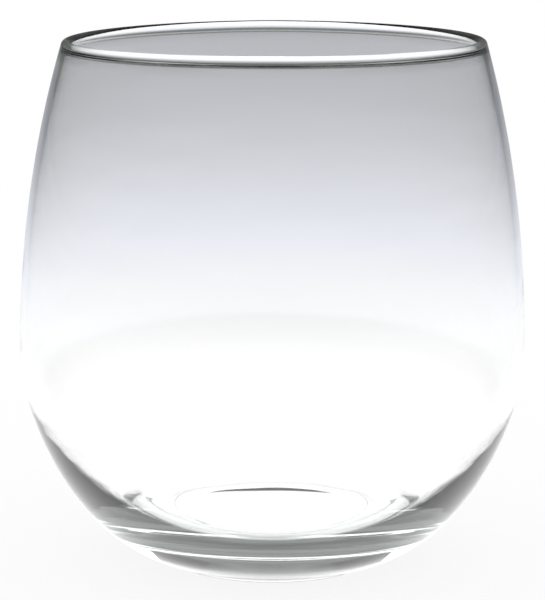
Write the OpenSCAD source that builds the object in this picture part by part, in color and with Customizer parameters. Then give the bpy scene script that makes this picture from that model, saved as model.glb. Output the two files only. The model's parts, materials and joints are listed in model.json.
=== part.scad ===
// Stemless wine glass: one piece of clear glass, round about the vertical axis.
// Sizes are in millimetres, +Z is up, and the origin is the centre of the face it stands on.

/* [Body] */
// Overall height, from the table to the top of the rim
height = 102.4; // [96:0.2:112]
// Outside diameter at the widest point of the belly
belly_d = 98; // [93:0.5:104]
// Height of the widest point above the table
belly_z = 42.1; // [38:0.1:46]
// Thickness of the wall at the widest point
wall_t = 1.2; // [0.9:0.05:2]
// Height of the cavity's lowest point above the table
floor_z = 9; // [7:0.1:10.5]

/* [Rim] */
// How far the rim's outside is drawn in from the widest point, on each side
rim_in = 8.2; // [6:0.1:11]
// Thickness of the rim bead, which is the wall's own edge melted round
bead_t = 2.1; // [1.7:0.05:3]
// Thickness of the wall just under the bead
lip_t = 1.3; // [0.95:0.05:1.6]
// Radius of the hollow between the bead and the inside of the wall
bead_blend_r = 0.6; // [0.3:0.1:2]

/* [Standing ring] */
// How far the low ring that the glass stands on lies in from the widest point, on each side
ring_in = 29.1; // [27.5:0.1:31]
// Height of the ring's upper edge, where the body's heel meets it
ring_h = 0.3; // [0.25:0.05:1]
// Radius of the ring's lower outer edge
ring_edge_r = 0.2; // [0.1:0.05:0.25]
// Width of the flat face that touches the table
ring_face_w = 3.1; // [1:0.1:6]
// Height of the push-up at the centre of the underside
push_up_h = 1.8; // [0.5:0.1:3]

/* [Hidden] */

glass_tint = [0.86, 0.9, 0.9];
glass_alpha = 0.35;

// Each face turned about the axis is split into this many parts
$fn = 192;

// How far a straight stretch of the outline may lie from its true curve, as a share of belly_d
sag_share = 0.00012;
chord_sag = belly_d * sag_share;

// The outside runs down from the belly as three arcs. The first two have radii that are shares of
// belly_z and end where the surface has tilted by these angles. The third closes on the ring.
belly_share = 0.815;
side_share = 1.402;
belly_tilt = 14;
side_tilt = 38.2;

// The cavity runs down the same way. Its third arc ends at a tilt and meets the cavity's floor,
// a shallow bowl centred on the axis.
cavity_belly_share = 0.831;
cavity_side_share = 0.998;
cavity_belly_tilt = 15.5;
cavity_side_tilt = 49.8;
cavity_heel_tilt = 88.4;

belly_r = belly_d / 2;
cavity_r = belly_r - wall_t;
bead_r = bead_t / 2;
rim_r = belly_r - rim_in;
bead = [rim_r - bead_r, height - bead_r];
ring_r = belly_r - ring_in;
push_up_r = ring_r - ring_edge_r - ring_face_w;

// The way a surface faces at a tilt: 0 is straight out from the axis, 90 down and -90 up
function facing(tilt) = [cos(tilt), -sin(tilt)];

// The tilt of the line from one point to another
function tilt_between(from, to) = atan2(from.y - to.y, to.x - from.x);

// The points of an arc from one tilt to another, without its first point
function arc_points(centre, r, from, to) =
    let (steps = max(2, ceil(abs(to - from) / (2 * acos(1 - chord_sag / r)))))
    [for (i = [1 : steps]) centre + r * facing(from + (to - from) * i / steps)];

// The centre of an arc that starts at a point with this radius and tilt
function arc_centre(start, r, tilt) = start - r * facing(tilt);

// The radius of an arc that starts at a point with this tilt and runs through another point
function closing_r(start, tilt, end) =
    let (chord = start - end)
    (chord * chord) / (2 * (chord * facing(tilt)));

// The lower crossing of two circles that lie one above the other
function lower_crossing(centre_1, r_1, centre_2, r_2) =
    let (line = centre_2 - centre_1)
    let (apart = norm(line))
    let (along = (apart * apart + r_1 * r_1 - r_2 * r_2) / (2 * apart))
    let (across = sqrt(r_1 * r_1 - along * along))
    centre_1 + (along * line + across * [line.y, -line.x]) / apart;

// Outside shoulder, from the bead down to the belly. It touches the bead and is upright at the
// belly, which fixes its radius.
bead_out = belly_r - bead.x;
bead_up = bead.y - belly_z;
shoulder_r = (bead_out * bead_out + bead_up * bead_up - bead_r * bead_r) / (2 * (bead_out - bead_r));
shoulder_centre = [belly_r - shoulder_r, belly_z];
shoulder_tilt = tilt_between(shoulder_centre, bead);

// Outside of the body, from the bead's outermost touch point down to the ring
function outside() =
    let (belly_arc_r = belly_z * belly_share)
    let (side_arc_r = belly_z * side_share)
    let (belly_centre = [belly_r - belly_arc_r, belly_z])
    let (belly_end = belly_centre + belly_arc_r * facing(belly_tilt))
    let (side_centre = arc_centre(belly_end, side_arc_r, belly_tilt))
    let (side_end = side_centre + side_arc_r * facing(side_tilt))
    let (heel_end = [ring_r, ring_h])
    let (heel_r = closing_r(side_end, side_tilt, heel_end))
    let (heel_centre = arc_centre(side_end, heel_r, side_tilt))
    concat(
        arc_points(shoulder_centre, shoulder_r, shoulder_tilt, 0),
        arc_points(belly_centre, belly_arc_r, 0, belly_tilt),
        arc_points(side_centre, side_arc_r, belly_tilt, side_tilt),
        arc_points(heel_centre, heel_r, side_tilt, tilt_between(heel_centre, heel_end))
    );

// The standing ring: a short upright side, a rounded edge and the flat face that it rests on
function ring() =
    let (edge_centre = [ring_r - ring_edge_r, ring_edge_r])
    concat(
        [[ring_r, ring_edge_r]],
        arc_points(edge_centre, ring_edge_r, 0, 90),
        [[push_up_r, 0]]
    );

// The push-up: a shallow dome in the underside, from the flat face to the axis
function push_up() =
    let (dome_r = (push_up_r * push_up_r + push_up_h * push_up_h) / (2 * push_up_h))
    let (dome_centre = [0, push_up_h - dome_r])
    arc_points(dome_centre, dome_r, tilt_between(dome_centre, [push_up_r, 0]), -90);

// The cavity, from its lowest point on the axis up to the inside of the belly
function cavity() =
    let (belly_arc_r = belly_z * cavity_belly_share)
    let (side_arc_r = belly_z * cavity_side_share)
    let (belly_centre = [cavity_r - belly_arc_r, belly_z])
    let (belly_end = belly_centre + belly_arc_r * facing(cavity_belly_tilt))
    let (side_centre = arc_centre(belly_end, side_arc_r, cavity_belly_tilt))
    let (side_end = side_centre + side_arc_r * facing(cavity_side_tilt))
    let (turn = facing(cavity_side_tilt) - facing(cavity_heel_tilt))
    let (rise = (1 - sin(cavity_heel_tilt)) / cos(cavity_heel_tilt))
    let (heel_r = (side_end.y - floor_z - side_end.x * rise) / (turn.y - turn.x * rise))
    let (heel_centre = arc_centre(side_end, heel_r, cavity_side_tilt))
    let (heel_end = heel_centre + heel_r * facing(cavity_heel_tilt))
    let (floor_r = heel_end.x / cos(cavity_heel_tilt))
    concat(
        [[0, floor_z]],
        arc_points([0, floor_z + floor_r], floor_r, 90, cavity_heel_tilt),
        arc_points(heel_centre, heel_r, cavity_heel_tilt, cavity_side_tilt),
        arc_points(side_centre, side_arc_r, cavity_side_tilt, cavity_belly_tilt),
        arc_points(belly_centre, belly_arc_r, cavity_belly_tilt, 0)
    );

// The rim: the inside shoulder up to the hollow, the hollow, and the bead over the top
function rim() =
    let (lip = bead + (bead_r - lip_t) * facing(shoulder_tilt))
    let (lip_in = cavity_r - lip.x)
    let (lip_up = lip.y - belly_z)
    let (inner_r = (lip_in * lip_in + lip_up * lip_up) / (2 * lip_in))
    let (inner_centre = [cavity_r - inner_r, belly_z])
    let (blend = lower_crossing(inner_centre, inner_r - bead_blend_r, bead, bead_r + bead_blend_r))
    let (blend_start = tilt_between(inner_centre, blend))
    let (blend_end = tilt_between(blend, bead))
    concat(
        arc_points(inner_centre, inner_r, 0, blend_start),
        arc_points(blend, bead_blend_r, blend_start, blend_end),
        arc_points(bead, bead_r, blend_end - 180, -90),
        arc_points(bead, bead_r, -90, shoulder_tilt)
    );

// The whole glass, one solid: its half outline turned about the axis
module bowl() {
    color(glass_tint, glass_alpha)
        rotate_extrude()
            polygon(concat(outside(), ring(), push_up(), cavity(), rim()));
}

bowl();
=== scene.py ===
# %% [markdown]
# A stemless wine glass
#
# This lesson builds one drinking glass: a thin-walled bowl on a thick rounded base, with a
# rounded rim. It is a single turned shape in a single clear material, so nearly all of its look
# comes from how light bends through two curved surfaces. The shape therefore has to be right to
# a tenth of a millimetre, and the light round it has to be planned as carefully as the glass.

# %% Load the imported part
import json
import math

import bpy
from mathutils import Matrix, Vector

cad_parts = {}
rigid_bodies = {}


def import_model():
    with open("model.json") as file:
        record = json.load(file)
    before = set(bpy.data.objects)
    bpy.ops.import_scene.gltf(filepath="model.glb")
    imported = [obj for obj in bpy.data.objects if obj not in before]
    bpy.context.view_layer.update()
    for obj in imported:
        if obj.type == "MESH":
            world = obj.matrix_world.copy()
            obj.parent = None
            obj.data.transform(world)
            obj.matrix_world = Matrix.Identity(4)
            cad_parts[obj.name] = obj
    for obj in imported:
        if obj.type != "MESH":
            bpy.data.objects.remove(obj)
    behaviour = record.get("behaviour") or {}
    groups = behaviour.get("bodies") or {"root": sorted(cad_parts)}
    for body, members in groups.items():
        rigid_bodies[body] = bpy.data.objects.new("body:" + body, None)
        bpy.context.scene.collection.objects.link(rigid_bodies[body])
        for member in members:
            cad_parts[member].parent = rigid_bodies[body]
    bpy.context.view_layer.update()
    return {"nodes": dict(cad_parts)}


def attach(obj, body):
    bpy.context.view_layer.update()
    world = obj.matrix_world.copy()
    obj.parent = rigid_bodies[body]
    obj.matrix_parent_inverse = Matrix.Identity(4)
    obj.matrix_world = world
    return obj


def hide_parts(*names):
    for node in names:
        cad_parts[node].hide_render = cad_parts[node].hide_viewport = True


MM = 0.001

for leftover in list(bpy.data.objects):
    bpy.data.objects.remove(leftover)
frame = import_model()
print("nodes in the packed part:", len(frame["nodes"]))

# %% [markdown]
# The sizes
#
# A turned shape is fully described by half of its outline. These are the sizes that a maker would
# write on the drawing, in metres. Each curved stretch is an arc. The tilt of an arc's end says
# which way the surface faces there: 0 is straight out, 90 is down and -90 is up.

# %% Sizes of the glass
HEIGHT = 102.4 * MM
BELLY_R = 49 * MM
BELLY_Z = 42.1 * MM
WALL = 1.2 * MM
FLOOR_Z = 9 * MM

RIM_R = 40.8 * MM
BEAD_R = 1.05 * MM
LIP = 1.3 * MM
BEAD_BLEND_R = 0.6 * MM

RING_R = 19.9 * MM
RING_H = 0.3 * MM
RING_EDGE_R = 0.2 * MM
RING_FACE = 3.1 * MM
PUSH_UP_H = 1.8 * MM

# Outside arcs below the belly: radius as a share of BELLY_Z, and the tilt at the arc's end
OUTER_ARCS = [(0.815, 14), (1.402, 38.2)]
# Cavity arcs below the belly, the same way, and the tilt where the heel meets the floor
CAVITY_ARCS = [(0.831, 15.5), (0.998, 49.8)]
CAVITY_HEEL_TILT = 88.4

# How far a straight step of the outline may lie from its true curve
SAG = 0.002 * MM
print("glass", HEIGHT / MM, "mm high and", 2 * BELLY_R / MM, "mm wide")

# %% [markdown]
# Arcs
#
# An arc is fixed by its centre, its radius and two tilts. Where one arc ends, the next one has to
# start with the same tilt, or the glass would show a crease there as a bright line. So each new
# centre is worked out from the point and the tilt at which the last arc ended.


# %% Arc helpers
def facing(tilt):
    """The way a surface faces at this tilt, as a radius and a height."""
    return Vector((math.cos(math.radians(tilt)), -math.sin(math.radians(tilt))))


def tilt_between(start, end):
    """The tilt of the line from one point to another."""
    return math.degrees(math.atan2(start.y - end.y, end.x - start.x))


def arc(centre, radius, start, end):
    """The points of an arc after its first one, with steps short enough for SAG."""
    step = math.degrees(2 * math.acos(1 - SAG / radius))
    count = max(2, math.ceil(abs(end - start) / step))
    tilts = [start + (end - start) * i / count for i in range(1, count + 1)]
    return [centre + radius * facing(tilt) for tilt in tilts]


def downward_arcs(belly, shares):
    """Arcs that run down from the belly, each from where the last one ended."""
    made, point, tilt = [], belly, 0
    for share, end_tilt in shares:
        radius = BELLY_Z * share
        centre = point - radius * facing(tilt)
        made.append((centre, radius, tilt, end_tilt))
        point, tilt = centre + radius * facing(end_tilt), end_tilt
    return made, point, tilt


def lower_crossing(centre_1, radius_1, centre_2, radius_2):
    """The lower crossing of two circles that lie one above the other."""
    line = centre_2 - centre_1
    apart = line.length
    along = (apart**2 + radius_1**2 - radius_2**2) / (2 * apart)
    across = math.sqrt(radius_1**2 - along**2)
    return centre_1 + (along * line + across * Vector((line.y, -line.x))) / apart


print("a quarter turn of the rim bead takes", len(arc(Vector((0, 0)), BEAD_R, 0, 90)), "steps")

# %% [markdown]
# The outline
#
# The outline starts on the axis under the glass and runs out over the push-up and the standing
# ring, up the outside, over the rim bead, and down the inside to the axis again. The real rim is
# the wall's own edge melted round in a flame, which leaves a bead a little thicker than the wall
# and a small hollow under it on the inside. The outline could be drawn by eye as a curve with
# handles. It is worked out from the sizes instead, so each one can be checked and changed by
# itself. Its points are then held as a chain of edges, which the lathe reads.


# %% Outside of the glass
bead = Vector((RIM_R - BEAD_R, HEIGHT - BEAD_R))
belly = Vector((BELLY_R, BELLY_Z))


def shoulder():
    """Centre, radius and top tilt of the arc that is upright at the belly and touches the bead."""
    out, up = BELLY_R - bead.x, bead.y - BELLY_Z
    radius = (out**2 + up**2 - BEAD_R**2) / (2 * (out - BEAD_R))
    centre = Vector((BELLY_R - radius, BELLY_Z))
    return centre, radius, tilt_between(centre, bead)


def underside():
    """The push-up's dome, the flat face, the ring's rounded edge and its short upright side."""
    push_up_r = RING_R - RING_EDGE_R - RING_FACE
    dome_r = (push_up_r**2 + PUSH_UP_H**2) / (2 * PUSH_UP_H)
    dome_centre = Vector((0, PUSH_UP_H - dome_r))
    dome_edge = tilt_between(dome_centre, Vector((push_up_r, 0)))
    edge_centre = Vector((RING_R - RING_EDGE_R, RING_EDGE_R))
    points = [Vector((0, PUSH_UP_H))] + arc(dome_centre, dome_r, -90, dome_edge)
    points += [Vector((edge_centre.x, 0))] + arc(edge_centre, RING_EDGE_R, 90, 0)
    return points


def outside():
    """The heel from the ring up, the lower wall, the belly and the shoulder, up to the bead."""
    arcs, point, tilt = downward_arcs(belly, OUTER_ARCS)
    ring_top = Vector((RING_R, RING_H))
    chord = point - ring_top
    heel_r = chord.length_squared / (2 * chord.dot(facing(tilt)))
    heel_centre = point - heel_r * facing(tilt)
    heel_end = tilt_between(heel_centre, ring_top)
    print("heel radius", round(heel_r / MM, 2), "mm, tilted", round(heel_end, 1), "at the ring")
    points = [ring_top] + arc(heel_centre, heel_r, heel_end, tilt)
    for centre, radius, start, end in reversed(arcs):
        points += arc(centre, radius, end, start)
    centre, radius, top = shoulder()
    return points + arc(centre, radius, 0, top)


print("shoulder radius", round(shoulder()[1] / MM, 1), "mm")


# %% Rim and inside of the glass
def rim():
    """The bead over the top, the hollow under it and the inside wall down to the belly."""
    top = shoulder()[2]
    cavity_r = BELLY_R - WALL
    lip = bead + (BEAD_R - LIP) * facing(top)
    inward, up = cavity_r - lip.x, lip.y - BELLY_Z
    wall_r = (inward**2 + up**2) / (2 * inward)
    wall_centre = Vector((cavity_r - wall_r, BELLY_Z))
    blend = lower_crossing(wall_centre, wall_r - BEAD_BLEND_R, bead, BEAD_R + BEAD_BLEND_R)
    wall_tilt, bead_tilt = tilt_between(wall_centre, blend), tilt_between(blend, bead)
    points = arc(bead, BEAD_R, top, -90) + arc(bead, BEAD_R, -90, bead_tilt - 180)
    points += arc(blend, BEAD_BLEND_R, bead_tilt, wall_tilt)
    return points + arc(wall_centre, wall_r, wall_tilt, 0)


def cavity():
    """The inside from the belly down: two arcs, the heel, and the floor, which ends on the axis."""
    arcs, point, tilt = downward_arcs(Vector((BELLY_R - WALL, BELLY_Z)), CAVITY_ARCS)
    turn = facing(tilt) - facing(CAVITY_HEEL_TILT)
    low = math.radians(CAVITY_HEEL_TILT)
    rise = (1 - math.sin(low)) / math.cos(low)
    heel_r = (point.y - FLOOR_Z - point.x * rise) / (turn.y - turn.x * rise)
    heel_centre = point - heel_r * facing(tilt)
    floor_r = (heel_centre + heel_r * facing(CAVITY_HEEL_TILT)).x / math.cos(low)
    print("cavity heel", round(heel_r / MM, 2), "mm, floor", round(floor_r / MM, 2), "mm radius")
    points = []
    for centre, radius, start, end in arcs:
        points += arc(centre, radius, start, end)
    points += arc(heel_centre, heel_r, tilt, CAVITY_HEEL_TILT)
    points += arc(Vector((0, FLOOR_Z + floor_r)), floor_r, CAVITY_HEEL_TILT, 90)
    return points


outline = underside() + outside() + rim() + cavity()
# The floor ends on the axis, but for rounding
outline[-1].x = 0
print("outline of", len(outline), "points")


# %% Hold the outline as a chain of edges
def add_object(name, data):
    """An object with this data, in the scene."""
    made = bpy.data.objects.new(name, data)
    bpy.context.scene.collection.objects.link(made)
    return made


def chain(name, points):
    """A mesh of points joined one after the other, in the X-Z plane."""
    mesh = bpy.data.meshes.new(name)
    edges = [(i, i + 1) for i in range(len(points) - 1)]
    mesh.from_pydata([(p.x, 0, p.y) for p in points], edges, [])
    return add_object(name, mesh)


outline_chain = chain("outline", outline)
print("chain of", len(outline_chain.data.edges), "edges")

# %% [markdown]
# Writing nodes as sums
#
# Both the lathe and the materials are node trees. Placing maths nodes by hand hides the sum that
# they work out. So an output socket is wrapped in a small class: adding, subtracting,
# multiplying or dividing two of them adds the maths node and gives back its output.


# %% A wire that can be used in a sum
class Wire:
    """One output socket that can be used in a sum."""

    def __init__(self, bench, socket):
        self.bench, self.socket = bench, socket

    def __add__(self, other):
        return self.bench.maths("ADD", self, other)

    def __sub__(self, other):
        return self.bench.maths("SUBTRACT", self, other)

    def __mul__(self, other):
        return self.bench.maths("MULTIPLY", self, other)

    def __truediv__(self, other):
        return self.bench.maths("DIVIDE", self, other)

    # The reflected forms serve a sum that starts with a plain number, such as 0 - across
    __radd__, __rmul__ = __add__, __mul__

    def __rsub__(self, other):
        return self.bench.maths("SUBTRACT", other, self)

    def __rtruediv__(self, other):
        return self.bench.maths("DIVIDE", other, self)


print("a wire can be added, subtracted, multiplied and divided")


# %% A workbench for node trees
class Placed:
    """A node on the bench. Its outputs are read as wires, by number or by name."""

    def __init__(self, bench, node):
        self.bench, self.node = bench, node

    def __getitem__(self, key):
        return Wire(self.bench, self.node.outputs[key])


class Bench:
    """A node tree, with one method that puts any node on it and one for maths nodes."""

    def __init__(self, tree):
        self.tree = tree
        tree.nodes.clear()

    def add(self, kind, settings=None, inputs=None):
        """A node with these settings. Each input is a wire or a plain value."""
        node = self.tree.nodes.new(kind)
        for name, value in (settings or {}).items():
            if name == "stops":
                self.set_stops(node.color_ramp, value)
            else:
                setattr(node, name, value)
        for key, value in (inputs or {}).items():
            if isinstance(value, Wire):
                self.tree.links.new(value.socket, node.inputs[key])
            else:
                node.inputs[key].default_value = value
        return Placed(self, node)

    def maths(self, operation, *values):
        """The output of a maths node on these wires or numbers."""
        return self.add("ShaderNodeMath", {"operation": operation}, dict(enumerate(values)))[0]

    @staticmethod
    def set_stops(ramp, stops):
        """Coloured stops, each at its place between 0 and 1."""
        while len(ramp.elements) > 1:
            ramp.elements.remove(ramp.elements[-1])
        for i, (place, colour) in enumerate(stops):
            stop = ramp.elements[0] if i == 0 else ramp.elements.new(place)
            stop.position = place
            stop.color = (*colour, 1)


print("a workbench takes any node by its type, its settings and its inputs")

# %% [markdown]
# The lathe
#
# A Screw or Spin would turn the outline too, but a lathe of our own can also carry the slight
# unevenness of real glass, which no mould leaves perfectly even. A grid has one row for each
# outline point and one column for each step round. Each grid point moves to its place on the
# glass, and merging by distance then closes the seam and the two poles.

# %% Sizes of the lathe
LATHE_INPUTS = [
    ("Outline", "NodeSocketObject", outline_chain),
    ("Steps round", "NodeSocketInt", 192),
    ("Unevenness", "NodeSocketFloat", 0.03 * MM),
    ("Lumps per metre", "NodeSocketFloat", 45.0),
    ("Difference inside to outside", "NodeSocketFloat", 3.0),
    ("Rim droop", "NodeSocketFloat", 0.6 * MM),
    ("Seam gap", "NodeSocketFloat", 0.001 * MM),
    ("Sharp corner", "NodeSocketFloat", math.radians(25)),
    ("Finish", "NodeSocketMaterial", None),
]
LUMP_DETAIL = 1.0
# How the droop gathers: powers of the share to the left and of the share of the height
DROOP_SPREAD, DROOP_RISE = 1.2, 4.0
print("at half height the rim's droop has shrunk to", 0.5**DROOP_RISE, "of itself")

# %% [markdown]
# The place of each point
#
# Each grid point looks up its outline point, swings it round the axis, and is drawn in by a
# smooth noise of a few hundredths of a millimetre. The rim of this glass also lies about half a
# millimetre lower on its left. So each point is lowered by a share that grows towards the left
# and towards the rim. Both could be sculpted by hand, but as sums they stay smooth, and one
# named input sets how strong each is.


# %% Swing the points round
def swung_point(bench, size, source, rows, columns):
    """Where each grid point goes: its outline point, swung round, uneven and drooping."""
    index = bench.add("GeometryNodeInputIndex")[0]
    row = bench.maths("FLOOR", index / columns)
    turn = (index - row * columns) / size["Steps round"] * math.tau
    looked_up = bench.add(
        "GeometryNodeSampleIndex",
        {"data_type": "FLOAT_VECTOR"},
        {"Geometry": source, "Value": bench.add("GeometryNodeInputPosition")[0], "Index": row},
    )["Value"]
    point = bench.add("ShaderNodeSeparateXYZ", inputs={0: looked_up})
    radius, height = point["X"], point["Z"]

    across, along = bench.maths("COSINE", turn), bench.maths("SINE", turn)
    true_place = bench.add(
        "ShaderNodeCombineXYZ", inputs={"X": radius * across, "Y": radius * along, "Z": height}
    )[0]
    noise = bench.add(
        "ShaderNodeTexNoise",
        {"noise_dimensions": "4D"},
        {
            "Vector": true_place,
            "W": row / rows * size["Difference inside to outside"],
            "Scale": size["Lumps per metre"],
            "Detail": LUMP_DETAIL,
        },
    )[0]
    uneven_radius = radius - radius / BELLY_R * noise * size["Unevenness"]
    left = bench.maths("MAXIMUM", 0 - across, 0)
    droop = size["Rim droop"] * bench.maths("POWER", left, DROOP_SPREAD)
    droop = droop * bench.maths("POWER", height / HEIGHT, DROOP_RISE)
    return bench.add(
        "ShaderNodeCombineXYZ",
        inputs={"X": uneven_radius * across, "Y": uneven_radius * along, "Z": height - droop},
    )[0]


print("each of the", len(outline), "outline points will be swung round the axis")


# %% Build the lathe tree
def build_lathe():
    """The tree, and the identifier of each of its named inputs."""
    tree = bpy.data.node_groups.new("Lathe", "GeometryNodeTree")
    identifiers = {}
    for name, kind, _ in LATHE_INPUTS:
        socket = tree.interface.new_socket(name, in_out="INPUT", socket_type=kind)
        identifiers[name] = socket.identifier
    tree.interface.new_socket("Glass", in_out="OUTPUT", socket_type="NodeSocketGeometry")
    bench = Bench(tree)
    size = bench.add("NodeGroupInput")

    source = bench.add("GeometryNodeObjectInfo", inputs={"Object": size["Outline"]})["Geometry"]
    counts = bench.add("GeometryNodeAttributeDomainSize", inputs={"Geometry": source})
    rows = counts["Point Count"]
    columns = size["Steps round"] + 1
    shape = bench.add(
        "GeometryNodeMeshGrid", inputs={"Vertices X": rows, "Vertices Y": columns}
    )["Mesh"]
    place = swung_point(bench, size, source, rows, columns)
    bend = bench.add("GeometryNodeInputMeshEdgeAngle")["Unsigned Angle"]
    corner = bench.add(
        "FunctionNodeCompare", {"operation": "GREATER_THAN"}, {0: bend, 1: size["Sharp corner"]}
    )[0]

    steps = [
        ("GeometryNodeSetPosition", {}, {"Position": place}),
        ("GeometryNodeMergeByDistance", {}, {"Distance": size["Seam gap"]}),
        ("GeometryNodeSetShadeSmooth", {}, {"Shade Smooth": True}),
        (
            "GeometryNodeSetShadeSmooth",
            {"domain": "EDGE"},
            {"Selection": corner, "Shade Smooth": False},
        ),
        ("GeometryNodeRealizeInstances", {}, {}),
        ("GeometryNodeSetMaterial", {}, {"Material": size["Finish"]}),
    ]
    for kind, settings, inputs in steps:
        shape = bench.add(kind, settings, {"Geometry": shape, **inputs})[0]
    bench.add("NodeGroupOutput", inputs={"Glass": shape})
    return tree, identifiers


lathe, lathe_sockets = build_lathe()
print("lathe with inputs", ", ".join(lathe_sockets))

# %% [markdown]
# Clear glass
#
# Soda-lime glass bends light by 1.52 and is nearly colourless, with a trace of grey green where
# it is thick. That trace is a Volume Absorption, so that it deepens with the path through the
# glass by itself. A fire-polished surface is smooth but never optically flat. Its haze is set by
# Roughness, patchy from handling, and a Bump adds the long faint ripple of drawn-out glass.

# %% Glass material
WHITE = (1, 1, 1, 1)
GLASS_IOR = 1.52
# Roughness where the surface is clean, and where it has been handled
HAZE_LOW, HAZE_HIGH = 0.015, 0.03
# Patches and ripples: how many per metre, and how many finer layers each noise has
PATCHES, PATCH_DETAIL = 60.0, 3.0
RIPPLES, RIPPLE_DETAIL = 140.0, 1.0
RIPPLE_STRENGTH, RIPPLE_HEIGHT = 0.02, 0.2 * MM
# The colour that deepens with the path, and how much of it a metre of glass adds
DEEP_TINT, DEEP_TINT_DENSITY = (0.7, 0.85, 0.8, 1), 3.0


def clear_glass():
    """Clear glass with a faint haze, ripple and tint."""
    material = bpy.data.materials.new("clear_glass")
    material.use_nodes = True
    bench = Bench(material.node_tree)
    place = bench.add("ShaderNodeTexCoord")["Object"]
    patches = bench.add(
        "ShaderNodeTexNoise", inputs={"Vector": place, "Scale": PATCHES, "Detail": PATCH_DETAIL}
    )[0]
    ripple = bench.add(
        "ShaderNodeTexNoise", inputs={"Vector": place, "Scale": RIPPLES, "Detail": RIPPLE_DETAIL}
    )[0]
    normal = bench.add(
        "ShaderNodeBump",
        inputs={"Strength": RIPPLE_STRENGTH, "Distance": RIPPLE_HEIGHT, "Height": ripple},
    )[0]
    surface = bench.add(
        "ShaderNodeBsdfPrincipled",
        inputs={
            "Base Color": WHITE,
            "Roughness": HAZE_LOW + patches * (HAZE_HIGH - HAZE_LOW),
            "IOR": GLASS_IOR,
            "Transmission Weight": 1.0,
            "Normal": normal,
        },
    )[0]
    tint = bench.add(
        "ShaderNodeVolumeAbsorption", inputs={"Color": DEEP_TINT, "Density": DEEP_TINT_DENSITY}
    )[0]
    bench.add("ShaderNodeOutputMaterial", inputs={"Surface": surface, "Volume": tint})
    return material


glass_finish = clear_glass()
print("material", glass_finish.name, "with", len(glass_finish.node_tree.nodes), "nodes")

# %% [markdown]
# Turning the glass
#
# The real glass is one piece, so it is one mesh on the one body. The lathe runs on a blank object,
# and its result is copied to a plain mesh, which is finished for good and no longer depends on the
# outline. The volume that the mesh shuts in is then measured. Its sign says whether the faces
# point outwards, and its size says how much glass it takes, which can be set against a real one.

# %% Turn the glass
CUBIC_METRE_ML = 1e6


def turn_on_lathe(name, finish):
    """Runs the lathe and keeps its result as a plain mesh."""
    blank = add_object("blank", bpy.data.meshes.new("blank"))
    modifier = blank.modifiers.new("Lathe", "NODES")
    modifier.node_group = lathe
    for label, _, value in LATHE_INPUTS:
        modifier[lathe_sockets[label]] = finish if label == "Finish" else value
    turned = blank.evaluated_get(bpy.context.evaluated_depsgraph_get())
    mesh = bpy.data.meshes.new_from_object(turned)
    mesh.name = name
    made = add_object(name, mesh)
    for scrap in (blank, outline_chain):
        bpy.data.objects.remove(scrap)
    return made


def solid_volume(mesh):
    """The volume that the mesh shuts in, which is above zero only when its faces point outwards."""
    mesh.calc_loop_triangles()
    corners = [v.co for v in mesh.vertices]
    total = 0
    for triangle in mesh.loop_triangles:
        a, b, c = (corners[i] for i in triangle.vertices)
        # The volume of the pyramid from the triangle to the origin
        total += a.dot(b.cross(c)) / 6
    return total


glass = turn_on_lathe("wine_glass", glass_finish)
if solid_volume(glass.data) < 0:
    glass.data.flip_normals()
glass_ml = solid_volume(glass.data) * CUBIC_METRE_ML
print("glass of", round(glass_ml, 2), "ml,", len(glass.data.polygons), "faces")
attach(glass, "root")
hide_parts("bowl")

# %% [markdown]
# The table and the room
#
# Clear glass shows only what is round it. To the glass, the table glows with painted shades: white
# near the glass and falling off to grey further back, as the studio light does. The glass turns
# that into a pale lower half, a greyer upper half and dark edges. A painted bright ring just
# outside the foot stands in for the light that the glass itself gathers, and a narrow painted
# shadow against the foot stands in for its contact shadow. The camera sees plain white, with the
# soft shadow that the glass leaves on the table. Light Path tells the two apart. Lamps and light
# panels could do the same, but painted shades give no noise, and each can be set by itself. They
# are round about the glass, so it looks the same from every side.

# %% Shades seen through and in the glass
# Distance from the glass's axis in metres, and how bright the table's painted glow is there. The
# shades fall off with distance as the studio light does. The 2 and 2.1 at 22.2 to 24.5 mm are a
# painted bright ring of light gathered by the glass, and the 1.15 at 20.3 to 21.5 mm is a painted
# shadow against the foot.
TABLE_SHADES = [
    (0.01, 1.75), (0.015, 1.72), (0.0168, 1.4), (0.0176, 1.3), (0.0195, 1.25), (0.0203, 1.15),
    (0.0215, 1.15), (0.0222, 2), (0.0245, 2.1), (0.026, 1.5), (0.028, 1.25), (0.032, 1.45),
    (0.036, 1.52), (0.047, 1.4), (0.06, 1.25), (0.15, 1.15), (0.22, 1.08), (0.275, 1.01),
    (0.33, 0.98), (0.395, 0.91), (0.465, 0.83), (0.54, 0.745), (0.63, 0.66), (0.74, 0.58),
    (0.87, 0.505), (1.07, 0.448), (1.4, 0.4), (2, 0.32), (3.2, 0.27),
]
# The shades are spread evenly over the logarithm of the distance, because a colour ramp holds
# only 256 steps, and the shades close to the foot change within a millimetre.
TABLE_NEAR, TABLE_REACH = 0.01, 4
TABLE_SPAN = TABLE_REACH / TABLE_NEAR
# The painted shade looks cool where it is grey. The tint is full below one shade and gone above
# another.
TABLE_TINT = (0.972, 1, 1.075)
TINT_BELOW, TINT_ABOVE = 0.9, 1.02
# Height above the horizon in degrees, and how bright the room is there
ROOM_SHADES = [
    (-90, 1.0), (-1, 0.22), (0, 0.18), (8, 0.11), (14, 0.15), (22, 0.27), (32, 0.3), (42, 0.14),
    (58, 0.12), (76, 0.14), (83, 0.05), (90, 0.03),
]
ROOM_TINT = (0.98, 1.02, 0.98)
# How much of what the camera sees of the table is its own even white, rather than lit and shaded
OWN_WHITE = 0.88
print("table shades", len(TABLE_SHADES), "and room shades", len(ROOM_SHADES))


# %% Colours of the shades
def table_colour(shade):
    """The shade as a colour, cool where it is grey."""
    share = min(1, max(0, (TINT_ABOVE - shade) / (TINT_ABOVE - TINT_BELOW)))
    return tuple(shade * (1 + share * (tint - 1)) for tint in TABLE_TINT)


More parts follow.
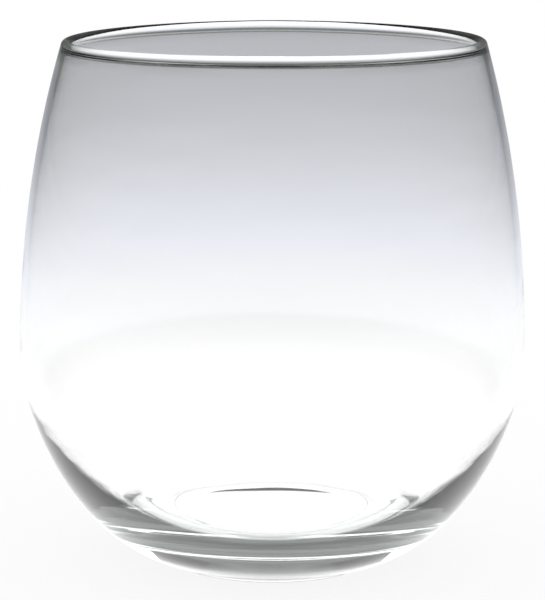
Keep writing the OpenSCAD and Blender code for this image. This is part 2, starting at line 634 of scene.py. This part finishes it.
def room_colour(shade):
    """The shade as a colour, with the faint green of the room."""
    return tuple(shade * tint for tint in ROOM_TINT)


def seen_in_glass(bench):
    """1 for a ray that glass bent or mirrored, and 0 for any other."""
    ray = bench.add("ShaderNodeLightPath")
    return bench.maths("MINIMUM", ray["Is Glossy Ray"] + ray["Is Transmission Ray"], 1.0)


print("the table's mid grey is", [round(part, 2) for part in table_colour(0.5)])

# %% Table
TABLE_HALF = 20
TABLE_CORNERS = [(-1, -1), (1, -1), (1, 1), (-1, 1)]


def white_table():
    """A wide table, white to the camera, and glowing with painted studio shades to the glass."""
    mesh = bpy.data.meshes.new("table")
    corners = [(x * TABLE_HALF, y * TABLE_HALF, 0) for x, y in TABLE_CORNERS]
    mesh.from_pydata(corners, [], [range(len(corners))])
    table = add_object("table", mesh)
    material = bpy.data.materials.new("white_table")
    material.use_nodes = True
    bench = Bench(material.node_tree)
    place = bench.add("ShaderNodeTexCoord")["Object"]
    away = bench.add("ShaderNodeVectorMath", {"operation": "LENGTH"}, {0: place})["Value"]
    stops = [
        (math.log(distance / TABLE_NEAR, TABLE_SPAN), table_colour(shade))
        for distance, shade in TABLE_SHADES
    ]
    steps = bench.maths("LOGARITHM", away / TABLE_NEAR, TABLE_SPAN)
    shade = bench.add("ShaderNodeValToRGB", {"stops": stops}, {"Fac": steps})[0]
    shaded = bench.add("ShaderNodeBsdfDiffuse", inputs={"Color": WHITE})[0]
    even = bench.add("ShaderNodeEmission", inputs={"Color": WHITE, "Strength": 1.0})[0]
    lit = bench.add("ShaderNodeMixShader", inputs={0: OWN_WHITE, 1: shaded, 2: even})[0]
    glowing = bench.add("ShaderNodeEmission", inputs={"Color": shade, "Strength": 1.0})[0]
    both = bench.add("ShaderNodeMixShader", inputs={0: seen_in_glass(bench), 1: lit, 2: glowing})
    bench.add("ShaderNodeOutputMaterial", inputs={"Surface": both[0]})
    mesh.materials.append(material)


white_table()
print("table", 2 * TABLE_HALF, "m wide")


# %% Room
def soft_room():
    """A room that is white to the camera and shaded by height to the glass."""
    world = bpy.data.worlds.new("room")
    world.use_nodes = True
    bpy.context.scene.world = world
    bench = Bench(world.node_tree)
    way = bench.add("ShaderNodeTexCoord")["Generated"]
    up = bench.add("ShaderNodeSeparateXYZ", inputs={0: way})["Z"]
    stops = [
        ((math.sin(math.radians(angle)) + 1) / 2, room_colour(shade))
        for angle, shade in ROOM_SHADES
    ]
    shade = bench.add("ShaderNodeValToRGB", {"stops": stops}, {"Fac": (up + 1) / 2})[0]
    # A Mix node takes its two colours at inputs 6 and 7 and gives the mixed one at output 2
    mixed = {0: seen_in_glass(bench), 6: WHITE, 7: shade}
    seen = bench.add("ShaderNodeMix", {"data_type": "RGBA"}, mixed)[2]
    sky = bench.add("ShaderNodeBackground", inputs={"Color": seen, "Strength": 1.0})[0]
    bench.add("ShaderNodeOutputWorld", inputs={"Surface": sky})


soft_room()
print("world", bpy.context.scene.world.name)

# %% [markdown]
# How far light is followed
#
# Light in the thick base is mirrored a few times before it leaves, while light caught in the thin
# wall under the rim is mirrored a dozen times and more. Following light through 11 bounces keeps
# what the base needs and drops what the wall traps. That leaves the base bright and draws the
# dark line under the rim.

# %% Bounces
BOUNCES = 11
cycles = bpy.context.scene.cycles
cycles.max_bounces = BOUNCES
cycles.glossy_bounces = BOUNCES
cycles.transmission_bounces = BOUNCES
print("light is followed through", BOUNCES, "bounces")

# %% [markdown]
# The camera
#
# The glass was photographed from a little above its rim, from about half a metre. At that
# distance the rim's far side looks clearly narrower than its near side.

# %% Camera
CAMERA_AWAY, CAMERA_UP = 0.56, 0.1505
CAMERA_DOWN, CAMERA_ROLL = 10.05, 0.36
PICTURE_HEIGHT, FOCAL_PIXELS, SENSOR = 600, 2925, 36
camera_data = bpy.data.cameras.new("camera")
camera_data.sensor_fit = "VERTICAL"
camera_data.sensor_height = SENSOR
camera_data.lens = FOCAL_PIXELS / PICTURE_HEIGHT * SENSOR
camera = add_object("camera", camera_data)
tipped = Matrix.Rotation(math.radians(90 - CAMERA_DOWN), 4, "X")
rolled = Matrix.Rotation(math.radians(CAMERA_ROLL), 4, "Z")
camera.matrix_world = Matrix.Translation((0, -CAMERA_AWAY, CAMERA_UP)) @ tipped @ rolled
bpy.context.scene.camera = camera
bpy.context.scene.view_settings.view_transform = "Standard"
print("camera lens", round(camera_data.lens, 1), "mm")
